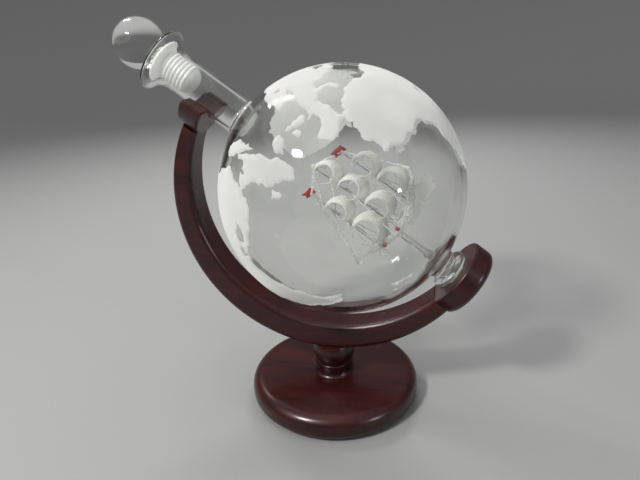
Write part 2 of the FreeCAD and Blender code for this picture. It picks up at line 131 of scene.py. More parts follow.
def mesh_object(name, vertices, faces, material):
    """A smooth-shaded mesh of one material, linked to the scene."""
    mesh = bpy.data.meshes.new(name)
    mesh.from_pydata(vertices, [], faces)
    mesh.shade_smooth()
    mesh.materials.append(material)
    thing = bpy.data.objects.new(name, mesh)
    bpy.context.scene.collection.objects.link(thing)
    return thing


def add_piece(name, vertices, faces, material, stands_for=()):
    """A closed piece that rides with the decanter and may stand for CAD nodes."""
    piece = mesh_object(name, vertices, faces, material)
    work = bmesh.new()
    work.from_mesh(piece.data)
    bmesh.ops.recalc_face_normals(work, faces=work.faces)
    work.to_mesh(piece.data)
    work.free()
    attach(piece, "decanter")
    if stands_for:
        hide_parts(*stands_for)


def circle(centre, first_arm, second_arm, radius, corners):
    ring = []
    for corner in range(corners):
        turn = 2.0 * math.pi * corner / corners
        ring.append(centre + (first_arm * math.cos(turn) + second_arm * math.sin(turn)) * radius)
    return ring


class Builder:
    """Collects vertices and faces of several closed forms into one piece."""

    def __init__(self):
        self.vertices = []
        self.faces = []

    def rings(self, rings):
        """Skins a row of closed rings that hold the same number of points, and closes both ends."""
        first = len(self.vertices)
        count = len(rings[0])
        for ring in rings:
            self.vertices.extend(ring)
        for row in range(len(rings) - 1):
            start = first + row * count
            self.join_rings(start, start + count, count)
        self.faces.append(tuple(range(first, first + count)))
        last = first + (len(rings) - 1) * count
        self.faces.append(tuple(reversed(range(last, last + count))))

    def join_rings(self, here, there, count):
        """Quads between two rings, given by the numbers of their first vertices."""
        for corner in range(count):
            after = (corner + 1) % count
            self.faces.append((here + corner, here + after, there + after, there + corner))

    def rod(self, points, radii, corners=10):
        """A round rod through points, with domed ends."""
        dome = ((0.6, 0.8), (0.92, 0.38))  # how far out of the end, and the share of the radius
        directions = []
        for index in range(len(points)):
            before = points[max(index - 1, 0)]
            after = points[min(index + 1, len(points) - 1)]
            directions.append((after - before).normalized())
        normal = directions[0].orthogonal().normalized()
        rings = []
        for index, (point, direction, radius) in enumerate(zip(points, directions, radii)):
            normal = (normal - direction * normal.dot(direction)).normalized()
            binormal = direction.cross(normal)
            profile = [(0.0, 1.0)]
            if index == 0:
                profile = [(-out, share) for out, share in reversed(dome)] + profile
            if index == len(points) - 1:
                profile.extend(dome)
            for out, share in profile:
                centre = point + direction * radius * out
                rings.append(circle(centre, normal, binormal, radius * share, corners))
        self.rings(rings)

    def torus(self, centre, axis, radius, wire):
        """A ring of round wire."""
        corners = 10
        around = 40
        first_arm = axis.orthogonal().normalized()
        second_arm = axis.cross(first_arm)
        first = len(self.vertices)
        for step in range(around):
            turn = 2.0 * math.pi * step / around
            out = first_arm * math.cos(turn) + second_arm * math.sin(turn)
            self.vertices.extend(circle(centre + out * radius, out, axis, wire, corners))
        for step in range(around):
            after = (step + 1) % around
            self.join_rings(first + step * corners, first + after * corners, corners)

    def drop(self, centre, radii):
        """A ball with its own radius along each axis of the globe's frame."""
        rows = 12
        corners = 18
        rings = []
        for row in range(1, rows):
            tilt = math.pi * row / rows
            middle = centre + ALONG * radii[0] * math.cos(tilt)
            over_arm = OVER * radii[1] * math.sin(tilt)
            side_arm = SIDE * radii[2] * math.sin(tilt)
            rings.append(circle(middle, over_arm, side_arm, 1.0, corners))
        self.rings(rings)


# ---- materials ------------------------------------------------------------------------


class Shader:
    """Short-hand for building a node material."""

    def __init__(self, name):
        self.material = bpy.data.materials.new(name)
        self.material.use_nodes = True
        self.tree = self.material.node_tree
        self.tree.nodes.clear()
        self.output = self.add("ShaderNodeOutputMaterial")
        self.coordinates = self.add("ShaderNodeTexCoord").outputs["Object"]

    def add(self, kind, values=None, **settings):
        """A node with its settings, and each input either linked or set."""
        node = self.tree.nodes.new(kind)
        for setting, value in settings.items():
            setattr(node, setting, value)
        for socket, value in (values or {}).items():
            if isinstance(value, bpy.types.NodeSocket):
                self.tree.links.new(value, node.inputs[socket])
            else:
                node.inputs[socket].default_value = value
        return node

    def finish(self, surface):
        self.tree.links.new(surface, self.output.inputs["Surface"])
        return self.material

    def scaled(self, scale):
        """The object's coordinates, each multiplied by its own number."""
        return self.add("ShaderNodeMapping", {"Vector": self.coordinates, "Scale": scale}).outputs[0]

    def noise(self, vector, scale, detail=4.0, roughness=0.55, distortion=0.0):
        """Cloudy values from 0 to 1. scale counts the clouds in a metre."""
        values = {
            "Vector": vector,
            "Scale": scale,
            "Detail": detail,
            "Roughness": roughness,
            "Distortion": distortion,
        }
        return self.add("ShaderNodeTexNoise", values).outputs[0]

    def ramp(self, value, low, high, to_low=0.0, to_high=1.0):
        """Maps low...high to to_low...to_high, and stops there."""
        values = {
            "Value": value,
            "From Min": low,
            "From Max": high,
            "To Min": to_low,
            "To Max": to_high,
        }
        return self.add("ShaderNodeMapRange", values).outputs[0]

    def math(self, operation, first, second):
        return self.add("ShaderNodeMath", {0: first, 1: second}, operation=operation).outputs[0]

    def mix_colour(self, share, first, second):
        """The node has sockets for each kind of value: 6, 7 and output 2 are the colours."""
        return self.add("ShaderNodeMix", {0: share, 6: first, 7: second}, data_type="RGBA").outputs[2]

    def bump(self, height, strength, distance):
        values = {"Height": height, "Strength": strength, "Distance": distance}
        return self.add("ShaderNodeBump", values).outputs[0]

    def principled(self, values):
        return self.add("ShaderNodeBsdfPrincipled", values).outputs[0]

    def glass(self, tint, index, normal):
        values = {"Color": tint, "Roughness": 0.0, "IOR": index, "Normal": normal}
        return self.add("ShaderNodeBsdfGlass", values).outputs[0]

    def translucent(self, colour, normal=None):
        values = {"Color": colour}
        if normal:
            values["Normal"] = normal
        return self.add("ShaderNodeBsdfTranslucent", values).outputs[0]

    def transparent(self, colour):
        return self.add("ShaderNodeBsdfTransparent", {"Color": colour}).outputs[0]

    def mix_shaders(self, share, first, second):
        return self.add("ShaderNodeMixShader", {0: share, 1: first, 2: second}).outputs[0]

    def finish_glass(self, body, pass_tint):
        """Shadow and diffuse rays go straight through, so what is inside the glass stays lit."""
        path = self.add("ShaderNodeLightPath").outputs
        passes = self.math("MAXIMUM", path["Is Shadow Ray"], path["Is Diffuse Ray"])
        return self.finish(self.mix_shaders(passes, body, self.transparent(pass_tint)))


def stained_wood(name, stretch, seed):
    """Dark mahogany stain under satin lacquer. stretch is small along the grain, and seed picks
    the place in it."""
    dark_grain = (0.0060, 0.0008, 0.0009, 1.0)
    light_grain = (0.034, 0.0028, 0.0026, 1.0)
    growth_band = (0.050, 0.0046, 0.0036, 1.0)
    open_pore = (0.004, 0.0008, 0.0008, 1.0)
    stain_cloud = (0.022, 0.0018, 0.0028, 1.0)
    rubbed_edge = (0.090, 0.013, 0.009, 1.0)
    shader = Shader(name)
    offset = (seed, seed * 0.7, seed * 1.3)
    grain = shader.add("ShaderNodeVectorMath", {0: shader.scaled(stretch), 1: offset}).outputs[0]
    streaks = shader.noise(grain, 420.0, detail=7.0, roughness=0.6, distortion=0.25)
    bands = shader.noise(grain, 90.0, detail=3.0, roughness=0.5, distortion=0.6)
    pores = shader.noise(grain, 1500.0, detail=2.0, roughness=0.5)
    cloud = shader.noise(shader.coordinates, 22.0, detail=2.0)
    edge = shader.add("ShaderNodeNewGeometry").outputs["Pointiness"]
    colour = shader.mix_colour(shader.ramp(streaks, 0.35, 0.68), dark_grain, light_grain)
    colour = shader.mix_colour(shader.ramp(bands, 0.4, 0.7, 0.0, 0.55), colour, growth_band)
    colour = shader.mix_colour(shader.ramp(pores, 0.62, 0.72, 0.0, 0.75), colour, open_pore)
    colour = shader.mix_colour(shader.ramp(cloud, 0.35, 0.7, 0.0, 0.35), colour, stain_cloud)
    colour = shader.mix_colour(shader.ramp(edge, 0.53, 0.62, 0.0, 0.35), colour, rubbed_edge)
    pits = shader.ramp(pores, 0.6, 0.72)
    height = shader.math("SUBTRACT", shader.math("MULTIPLY", streaks, 0.35), pits)
    surface = shader.principled(
        {
            "Base Color": colour,
            "Roughness": shader.ramp(streaks, 0.3, 0.7, 0.36, 0.5),
            "Specular IOR Level": 0.2,
            "Coat Weight": 0.55,
            "Coat Roughness": shader.ramp(cloud, 0.3, 0.7, 0.20, 0.30),
            "Normal": shader.bump(height, 0.12, 0.00008),
            "Coat Normal": shader.bump(cloud, 0.05, 0.0004),
        }
    )
    return shader.finish(surface)


def bare_dowel():
    """Pale unstained beech."""
    dark_grain = (0.42, 0.27, 0.14, 1.0)
    light_grain = (0.62, 0.45, 0.27, 1.0)
    shader = Shader("bare_dowel")
    grain = shader.noise(shader.scaled((1.0, 1.0, 0.12)), 900.0, detail=5.0)
    surface = shader.principled(
        {
            "Base Color": shader.mix_colour(grain, dark_grain, light_grain),
            "Roughness": 0.7,
            "Normal": shader.bump(grain, 0.3, 0.0001),
        }
    )
    return shader.finish(surface)


def felt():
    """Matted black fibres with a little sheen."""
    hollow = (0.006, 0.006, 0.007, 1.0)
    tip = (0.035, 0.034, 0.036, 1.0)
    shader = Shader("felt")
    fibres = shader.noise(shader.coordinates, 2600.0, detail=6.0, roughness=0.75, distortion=1.2)
    tufts = shader.noise(shader.coordinates, 500.0, detail=3.0)
    height = shader.ramp(shader.math("ADD", fibres, tufts), 0.7, 1.3)
    surface = shader.principled(
        {
            "Base Color": shader.mix_colour(height, hollow, tip),
            "Roughness": 0.95,
            "Sheen Weight": 0.5,
            "Normal": shader.bump(fibres, 0.8, 0.0003),
        }
    )
    return shader.finish(surface)


def screw_steel():
    """Zinc-plated steel with turning marks round the screw's axis."""
    dark_mark = (0.55, 0.54, 0.50, 1.0)
    bright_mark = (0.72, 0.70, 0.66, 1.0)
    shader = Shader("screw_steel")
    scratches = shader.noise(shader.scaled((1.0, 1.0, 9.0)), 700.0, detail=4.0)
    surface = shader.principled(
        {
            "Base Color": shader.mix_colour(scratches, dark_mark, bright_mark),
            "Metallic": 1.0,
            "Roughness": shader.ramp(scratches, 0.3, 0.7, 0.22, 0.42),
            "Normal": shader.bump(scratches, 0.15, 0.00005),
        }
    )
    return shader.finish(surface)


def clear_glass(name, ripple, ripple_scale):
    """Blown glass with slow ripples and a trace of finer ones."""
    tint = (0.987, 0.991, 0.984, 1.0)
    pass_tint = (0.96, 0.97, 0.96, 1.0)
    shader = Shader(name)
    slow = shader.noise(shader.coordinates, ripple_scale, detail=2.0)
    fine = shader.noise(shader.coordinates, ripple_scale * 6.0, detail=1.0)
    height = shader.math("ADD", slow, shader.math("MULTIPLY", fine, 0.12))
    glass = shader.glass(tint, 1.47, shader.bump(height, ripple, 0.001))
    return shader.finish_glass(glass, pass_tint)


def lampworked_glass():
    """Drawn and fused rods: clear glass with cloudy white drawn into it."""
    tint = (0.985, 0.99, 0.985, 1.0)
    white = (0.93, 0.93, 0.91, 1.0)
    pass_tint = (0.80, 0.80, 0.79, 1.0)
    shader = Shader("ship_glass")
    ripple = shader.noise(shader.coordinates, 500.0, detail=2.0)
    cloud = shader.noise(shader.coordinates, 330.0, detail=4.0, roughness=0.65, distortion=0.6)
    glass = shader.glass(tint, 1.5, shader.bump(ripple, 0.2, 0.0003))
    gloss = shader.principled(
        {"Base Color": white, "Roughness": 0.12, "Coat Weight": 1.0, "Coat Roughness": 0.03}
    )
    cloudy = shader.mix_shaders(0.4, gloss, shader.translucent(white))
    body = shader.mix_shaders(shader.ramp(cloud, 0.35, 0.65, 0.40, 0.95), glass, cloudy)
    return shader.finish_glass(body, pass_tint)


def milky_glass():
    """Opal white glass: mostly scattered light under a wet gloss."""
    thin_white = (0.86, 0.855, 0.83, 1.0)
    full_white = (0.95, 0.945, 0.93, 1.0)
    shader = Shader("milky_glass")
    cloud = shader.noise(shader.coordinates, 260.0, detail=4.0, roughness=0.6)
    streak = shader.noise(shader.scaled((1.0, 5.0, 1.0)), 420.0, detail=3.0)
    colour = shader.mix_colour(shader.ramp(streak, 0.35, 0.7), thin_white, full_white)
    normal = shader.bump(streak, 0.15, 0.0001)
    gloss = shader.principled(
        {
            "Base Color": colour,
            "Roughness": 0.42,
            "Specular IOR Level": 0.3,
            "Coat Weight": 0.2,
            "Coat Roughness": 0.08,
            "Subsurface Weight": 0.25,
            "Subsurface Radius": (0.001, 0.001, 0.001),
            "Subsurface Scale": 1.0,
            "Normal": normal,
        }
    )
    clear = shader.transparent((0.95, 0.96, 0.95, 1.0))
    body = shader.mix_shaders(0.42, gloss, shader.translucent(colour, normal))
    return shader.finish(shader.mix_shaders(shader.ramp(cloud, 0.3, 0.7, 0.02, 0.14), body, clear))


def etched_frost():
    """The sand-blasted map: white, dense, and seen once from either side of its thin shell."""
    grey_grit = (0.76, 0.757, 0.75, 1.0)
    white_grit = (0.90, 0.896, 0.888, 1.0)
    shader = Shader("etched_frost")
    grit = shader.noise(shader.coordinates, 5200.0, detail=3.0, roughness=0.7)
    cloud = shader.noise(shader.coordinates, 55.0, detail=4.0, roughness=0.6)
    density = shader.ramp(shader.math("ADD", grit, cloud), 0.7, 1.3)
    colour = shader.mix_colour(density, grey_grit, white_grit)
    normal = shader.bump(grit, 0.35, 0.00004)
    matt = {"Color": colour, "Roughness": 1.0, "Normal": normal}
    bounce = shader.add("ShaderNodeBsdfDiffuse", matt).outputs[0]
    clear = shader.transparent((0.97, 0.97, 0.96, 1.0))
    frost = shader.mix_shaders(0.45, bounce, shader.translucent(colour, normal))
    thin = shader.mix_shaders(shader.ramp(cloud, 0.3, 0.75, 0.09, 0.17), frost, clear)
    backs = shader.add("ShaderNodeNewGeometry").outputs["Backfacing"]
    return shader.finish(shader.mix_shaders(backs, thin, clear))


def red_glass():
    """Ruby glass drawn out in streaks."""
    deep_red = (0.24, 0.010, 0.014, 1.0)
    light_red = (0.52, 0.085, 0.085, 1.0)
    shader = Shader("red_glass")
    streak = shader.noise(shader.coordinates, 700.0, detail=4.0, distortion=0.8)
    colour = shader.mix_colour(shader.ramp(streak, 0.35, 0.65), deep_red, light_red)
    body = shader.principled(
        {"Base Color": colour, "Roughness": 0.12, "Coat Weight": 1.0, "Coat Roughness": 0.03}
    )
    clear = shader.transparent((0.85, 0.25, 0.25, 1.0))
    return shader.finish(shader.mix_shaders(shader.ramp(streak, 0.3, 0.7, 0.40, 0.15), body, clear))


def sleeve_plastic():
    """Milky soft polythene."""
    thin_white = (0.79, 0.79, 0.775, 1.0)
    full_white = (0.90, 0.90, 0.885, 1.0)
    shader = Shader("sleeve_plastic")
    flow = shader.noise(shader.scaled((2.0, 2.0, 1.0)), 260.0, detail=4.0, distortion=0.5)
    colour = shader.mix_colour(flow, thin_white, full_white)
    normal = shader.bump(flow, 0.12, 0.00012)
    body = shader.principled(
        {
            "Base Color": colour,
            "Roughness": shader.ramp(flow, 0.3, 0.7, 0.26, 0.42),
            "Subsurface Weight": 0.4,
            "Subsurface Radius": (0.002, 0.002, 0.002),
            "Subsurface Scale": 1.0,
            "Normal": normal,
        }
    )
    clear = shader.transparent((0.95, 0.955, 0.95, 1.0))
    milky = shader.mix_shaders(0.3, body, shader.translucent(colour, normal))
    return shader.finish(shader.mix_shaders(shader.ramp(flow, 0.3, 0.7, 0.10, 0.22), milky, clear))


def pale_floor():
    """Plain light grey paper."""
    dark_speck = (0.24, 0.24, 0.238, 1.0)
    light_speck = (0.27, 0.27, 0.267, 1.0)
    shader = Shader("pale_floor")
    speckle = shader.noise(shader.coordinates, 900.0, detail=3.0)
    surface = shader.principled(
        {
            "Base Color": shader.mix_colour(speckle, dark_speck, light_speck),
            "Roughness": 0.75,
            "Specular IOR Level": 0.2,
            "Normal": shader.bump(speckle, 0.1, 0.0002),
        }
    )
    return shader.finish(surface)


FLASK_GLASS = clear_glass("flask_glass", 0.10, 60.0)
BALL_GLASS = clear_glass("ball_glass", 0.12, 90.0)
SHIP_GLASS = lampworked_glass()
POST_GLASS = clear_glass("post_glass", 0.08, 180.0)
MILKY_GLASS = milky_glass()
RED_GLASS = red_glass()
ETCHED_FROST = etched_frost()

GRAIN_ALONG_X = (0.10, 1.0, 1.0)
GRAIN_ALONG_Y = (1.0, 0.10, 1.0)
GRAIN_ALONG_Z = (1.0, 1.0, 0.10)

# The finish of each CAD node that stays in sight.
NODE_MATERIALS = {
    "base_disc": stained_wood("base_wood", GRAIN_ALONG_X, 1.7),
    "pedestal": stained_wood("pedestal_wood", GRAIN_ALONG_Z, 3.1),
    "arm": stained_wood("arm_wood", GRAIN_ALONG_X, 5.3),
    "neck_cradle": stained_wood("cradle_wood", GRAIN_ALONG_Y, 7.9),
    "foot_cup": stained_wood("cup_wood", GRAIN_ALONG_Y, 9.2),
    "cradle_dowel": bare_dowel(),
    "cup_dowel": bare_dowel(),
    "base_felt_pad": felt(),
    "cup_felt": felt(),
    "base_screw": screw_steel(),
    "flask": FLASK_GLASS,
    "foot_button": FLASK_GLASS,
    "stopper_ball": BALL_GLASS,
    "stopper_sleeve": sleeve_plastic(),
    "ship_post": POST_GLASS,
    "fore_mast": POST_GLASS,
    "main_mast": POST_GLASS,
    "mizzen_mast": POST_GLASS,
    "bowsprit": SHIP_GLASS,
    "yards": SHIP_GLASS,
    "anchor_ring": SHIP_GLASS,
    "stern_curl": SHIP_GLASS,
    "hull_beads": RED_GLASS,
}


def dress_nodes():
    for name, material in NODE_MATERIALS.items():
        mesh = nodes[name].data
        mesh.materials.clear()
        mesh.materials.append(material)


# ---- the etched map -------------------------------------------------------------------

# The map's own graticule: the directions of its pole and of the point where its first
# meridian crosses the equator, as parts of (along, over, side).
MAP_POLE = Vector((0.818, -0.069, -0.572))
MAP_MERIDIAN = Vector((-0.223, 0.877, -0.425))
MAP_LIFT = (0.02 * MM, 0.10 * MM)  # lower and upper side of the etched layer, off the glass

# Coasts as (latitude, longitude) on that graticule, drawn.
COASTS = {
    "greenland": (
        (82, -31), (77, -27), (72, -27), (66, -27), (60, -27), (56, -29), (53, -31), (51, -33), (50, -36),
        (50, -39), (54, -41), (57, -45), (57, -48), (61, -51), (62, -50), (63, -54), (66, -54), (68, -60),
        (70, -75), (73, -72), (75, -65), (76, -59), (74, -60), (73, -56), (76, -53), (76, -44), (77, -39),
        (81, -42),
    ),
    "polar_isle": (
        (73, -19), (76, -9), (80, 1), (82, 22), (85, 60), (86, 100), (88, 140), (88, -60), (83, -25),
        (78, -22), (75, -22),
    ),
    "west_isle": ((57, -50), (55, -50), (54, -49), (52, -50), (52, -53), (55, -54), (55, -56), (56, -53)),
    "iceland": (
        (60, -9), (59, -13), (59, -11), (58, -15), (58, -20), (57, -25), (60, -25), (62, -21), (63, -14),
    ),
    "britain": (
        (57, -3), (56, -4), (55, -1), (53, 1), (53, 2), (51, 3), (50, 0), (50, -3), (52, -4), (53, -6),
        (54, -6), (55, -4), (56, -7), (57, -8), (58, -7),
    ),
    "ireland": ((55, -9), (53, -7), (52, -8), (51, -10), (52, -13), (53, -13), (54, -11)),
    "eurasia": (
        (35, -1), (37, 0), (39, 2), (42, 7), (44, 10), (44, 16), (41, 20), (39, 20), (37, 18), (35, 18),
        (35, 20), (37, 22), (39, 24), (42, 22), (44, 21), (42, 28), (39, 29), (38, 32), (34, 38), (31, 43),
        (30, 50), (25, 55), (18, 58), (14, 54), (9, 58), (11, 64), (4, 68), (-4, 73), (-13, 78), (-8, 84),
        (-7, 91), (-13, 96), (-19, 103), (-15, 105), (-16, 113), (-13, 120), (-9, 128), (-3, 134), (5, 134),
        (11, 132), (16, 136), (19, 130), (26, 125), (30, 118), (32, 108), (36, 103), (40, 95), (45, 86),
        (52, 78), (57, 68), (60, 57), (63, 49), (64, 41), (64, 33), (62, 25), (61, 15), (59, 15), (56, 20),
        (54, 17), (52, 11), (50, 7), (49, 4), (49, -1), (48, -2), (47, 2), (45, 0), (44, -4), (44, -8),
        (45, -13), (43, -14), (40, -14), (38, -13), (37, -9), (37, -6), (36, -3),
    ),
    "africa": (
        (36, 1), (34, -4), (32, -4), (32, -6), (30, -8), (29, -10), (28, -12), (24, -12), (22, -13),
        (20, -15), (18, -15), (15, -12), (12, -11), (10, -9), (9, -6), (7, -5), (6, -1), (4, 2), (3, 3),
        (1, 2), (-2, 3), (-5, 3), (-8, 1), (-14, -1), (-22, -3), (-31, -4), (-37, -2), (-40, 6), (-37, 14),
        (-29, 19), (-21, 23), (-17, 30), (-8, 31), (-2, 36), (6, 42), (13, 52), (15, 48), (19, 42), (22, 36),
        (22, 31), (24, 26), (25, 24), (29, 23), (31, 20), (34, 16), (34, 13), (36, 8), (36, 5), (35, 2),
    ),
    "america": (
        (83, -150), (85, -110), (80, -80), (74, -74), (68, -76), (66, -73), (62, -77), (59, -82), (56, -87),
        (54, -92), (51, -97), (49, -101), (46, -105), (42, -107), (40, -106), (38, -104), (33, -101),
        (29, -97), (24, -94), (19, -91), (15, -88), (12, -84), (10, -80), (9, -80), (8, -82), (6, -84),
        (7, -88), (10, -95), (11, -101), (16, -108), (22, -120), (28, -131), (33, -142), (40, -151),
        (46, -164), (53, -170), (52, 178), (59, 172), (66, 168), (72, 178), (78, -170),
    ),
    "east_siberia": (
        (68, 135), (73, 150), (71, 168), (66, 178), (62, 172), (58, 162), (53, 157), (57, 150), (59, 143),
    ),
    "south_land": (
        (-18, 60), (-14, 66), (-16, 72), (-21, 73), (-20, 79), (-27, 84), (-34, 80), (-36, 71), (-33, 64),
        (-34, 58), (-27, 53), (-21, 55),
    ),
    "cape_isle": ((-44, 90), (-46, 83), (-49, 86), (-49, 91), (-46, 95)),
    "small_isle": ((-37, 97), (-41, 95), (-44, 100), (-41, 102)),
    "polar_south": (
        (-66, 99), (-68, 81), (-66, 66), (-67, 59), (-71, 54), (-72, 47), (-77, 66), (-79, 96), (-83, 105),
        (-84, 142), (-80, 175), (-72, 172), (-69, 150), (-66, 122),
    ),
}

# Inland water, in the same way.
LAKES = {
    "eurasia": (
        ((59, 40), (57, 45), (56, 42), (57, 37)),
        ((55, 37), (54, 33), (53, 24), (54, 20), (55, 27)),
        ((38, 44), (35, 46), (32, 52), (34, 55), (38, 51)),
        ((25, 83), (23, 86), (19, 84), (22, 81)),
    ),
    "america": (
        ((60, -101), (58, -105), (56, -108), (53, -108), (52, -103), (56, -100)),
        ((50, -109), (49, -112), (45, -112), (46, -108)),
    ),
    "africa": (((0, 24), (-3, 26), (-4, 23)),),
}


def map_direction(latitude, longitude):
    """Unit vector of the row frame for a place on the etched map."""
    pole = (ALONG * MAP_POLE[0] + OVER * MAP_POLE[1] + SIDE * MAP_POLE[2]).normalized()
    zero = ALONG * MAP_MERIDIAN[0] + OVER * MAP_MERIDIAN[1] + SIDE * MAP_MERIDIAN[2]
    zero = (zero - pole * zero.dot(pole)).normalized()
    ninety = pole.cross(zero)
    height = math.radians(latitude)
    turn = math.radians(longitude)
    return pole * math.sin(height) + (zero * math.cos(turn) + ninety * math.sin(turn)) * math.cos(height)


def ragged(points, chance):
    """A coast with each of its straight stretches broken up."""
    coast = []
    for start, end in zip(points, points[1:] + points[:1]):
        coast.append(start)
        coast.extend(split_coast(start, end, chance))
    return coast


def split_coast(start, end, chance):
    """Points between two: the middle moves aside by a share of the length, again and again."""
    shortest = math.radians(1.0)
    raggedness = 0.20
    if (end - start).length < shortest:
        return []
    middle = ((start + end) / 2).normalized()
    aside = middle.cross(end - start)
    middle = (middle + aside * chance.uniform(-raggedness, raggedness)).normalized()
    before = split_coast(start, middle, chance)
    after = split_coast(middle, end, chance)
    return before + [middle] + after


def flatten(points):
    """Azimuthal map of directions about their mean: flat points, and the way back."""
    no_turn = 1e-9
    centre = sum(points, Vector()).normalized()
    east = centre.orthogonal().normalized()
    north = centre.cross(east)
    flat = []
    for point in points:
        aside = Vector((point.dot(east), point.dot(north)))
        flat.append(aside.normalized() * centre.angle(point))

    def back(spot):
        angle = spot.length
        if angle < no_turn:
            return centre.copy()
        aside = (east * spot.x + north * spot.y) / angle
        return centre * math.cos(angle) + aside * math.sin(angle)

    return flat, back


def inside_outline(spot, outline):
    """Whether a line from the spot towards +X crosses the outline an odd number of times."""
    within = False
    for start, end in zip(outline, outline[1:] + outline[:1]):
        if (start.y > spot.y) != (end.y > spot.y):
            if spot.x < start.x + (end.x - start.x) * (spot.y - start.y) / (end.y - start.y):
                within = not within
    return within


def land_sheet(coast, lakes):
    """Triangles that fill a coast but not its lakes: directions and index triples."""
    spacing = math.radians(2.6)
    clear_of_shore = spacing * 0.45
    row_height = spacing * math.sqrt(3.0) / 2.0
    same_point = 1e-7
    fill_inside_edges = 1
    flat, back = flatten([*coast, *(point for lake in lakes for point in lake)])
    edges = []
    loops = []
    start = 0
    for loop in (coast, *lakes):
        count = len(loop)
        edges += [(start + index, start + (index + 1) % count) for index in range(count)]
        loops.append(flat[start : start + count])
        start += count
    outline, *holes = loops
    lowest = Vector((min(p.x for p in flat), min(p.y for p in flat)))
    highest = Vector((max(p.x for p in flat), max(p.y for p in flat)))
    spots = list(flat)
    for row in range(int((highest.y - lowest.y) / row_height) + 1):
        for column in range(int((highest.x - lowest.x) / spacing) + 2):
            spot = lowest + Vector(((column + 0.5 * (row % 2)) * spacing, row * row_height))
            if inside_outline(spot, outline) and min((spot - p).length for p in flat) > clear_of_shore:
                spots.append(spot)
    filled, _, triangles, *_ = delaunay_2d_cdt(spots, edges, [], fill_inside_edges, same_point)
    land = []
    for triangle in triangles:
        middle = sum((filled[corner] for corner in triangle), Vector((0.0, 0.0))) / 3.0
        if not any(inside_outline(middle, hole) for hole in holes):
            land.append(triangle)
    return [back(spot) for spot in filled], land


def land_shell(directions, triangles):
    """A closed thin shell just off the glass over the filled coast."""
    count = len(directions)
    vertices = []
    for lift in reversed(MAP_LIFT):
        vertices.extend(GLOBE_CENTRE + direction * (GLOBE_RADIUS + lift) for direction in directions)
    faces = []
    rim = set()
    for a, b, c in triangles:
        normal = (directions[b] - directions[a]).cross(directions[c] - directions[a])
        if normal.dot(directions[a]) < 0.0:
            a, c = c, a
        faces.append((a, b, c))
        faces.append((c + count, b + count, a + count))
        for start, end in ((a, b), (b, c), (c, a)):
            if (end, start) in rim:
                rim.remove((end, start))
            else:
                rim.add((start, end))
    for start, end in sorted(rim):
        faces.append((end, start, start + count, end + count))
    return vertices, faces


def etch_map():
    chance = random.Random(11)
    for name, outline in COASTS.items():
        loops = []
        for loop in (outline, *LAKES.get(name, ())):
            points = [map_direction(*spot) for spot in loop]
            loops.append(ragged(points, chance))
        vertices, faces = land_shell(*land_sheet(loops[0], loops[1:]))
        add_piece(f"etched_{name}", vertices, faces, ETCHED_FROST)


# ---- the ship -------------------------------------------------------------------------

# Lengths and thicknesses in this section are in millimetres unless they are multiplied by MM.
MASTS = ("fore_mast", "main_mast", "mizzen_mast")
SAIL_THICKNESS = 0.75


def sail_half_thickness(across):
    """Half a sail's thickness from one rim (-1) to the other (1), with its ribs and swollen rims."""
    rim_swell = 0.12
    swell_at, swell_width = 0.94, 0.05
    rounded_from = 0.9
    sharpest = 0.03
    rib_count = 9.0
    rib_height = 0.07
    past = max(0.0, abs(across) - rounded_from) / (1.0 - rounded_from)
    half = SAIL_THICKNESS / 2.0 * math.sqrt(max(sharpest, 1.0 - past**3))
    half += rim_swell * math.exp(-(((abs(across) - swell_at) / swell_width) ** 2))
    half += rib_height * math.cos(across * rib_count * math.pi)
    return half


def curled_sail(builder, along, over, radius, breadth, lean):
    """Part of a blown milky barrel, open towards the bow. lean shifts its rims along the axis."""
    half_angle = math.radians(108.0)
    rim_share = 0.74  # radius at the rims, as a share of the belly's
    inset, side_inset = 0.1, 0.2  # inside the space of the CAD sail
    waviness = 0.15
    lip_steps = 1.5  # the lips round off within these steps
    thinnest_lip = 0.06
    steps_round = 48
    steps_across = 64
    middle_radius = radius - SAIL_THICKNESS / 2.0 - inset
    rings = []
    for step in range(steps_round + 1):
        share = step / steps_round
        turn = half_angle * (2.0 * share - 1.0)
        from_lip = min(1.0, min(share, 1.0 - share) * steps_round / lip_steps)
        fullness = thinnest_lip + (1.0 - thinnest_lip) * math.sqrt(1.0 - (1.0 - from_lip) ** 2)
        ring = []
        for face in (1.0, -1.0):
            for column in range(steps_across + 1):
                across = (column / steps_across * 2.0 - 1.0) * face
                belly = rim_share + (1.0 - rim_share) * (1.0 - abs(across) ** 2.2) ** 0.8
                half = sail_half_thickness(across) * fullness
                wave = waviness * noise.noise(Vector((share * 4.0, across * 2.0, along * 0.3)))
                reach = middle_radius * belly + half * face + wave
                ring.append(
                    place(
                        along + reach * math.sin(turn) + lean * across,
                        over + reach * math.cos(turn),
                        across * (breadth / 2.0 - side_inset),
                    )
                )
        rings.append(ring)
    builder.rings(rings)


def rim_thread(builder, along, over, radius, side, lean, chance):
    """A thread fused round one rim of a sail and on past its lips."""
    start, end = math.radians(-158.0), math.radians(112.0)
    thickness, unevenness = 0.27, 0.05
    waviness = 0.1
    steps = 40
    points = []
    radii = []
    for step in range(steps + 1):
        turn = start + (end - start) * step / steps
        reach = radius + waviness * noise.noise(Vector((step * 0.2, side, along)))
        points.append(place(along + lean + reach * math.sin(turn), over + reach * math.cos(turn), side))
        radii.append((thickness + unevenness * chance.uniform(-1.0, 1.0)) * MM)
    builder.rod(points, radii, corners=8)


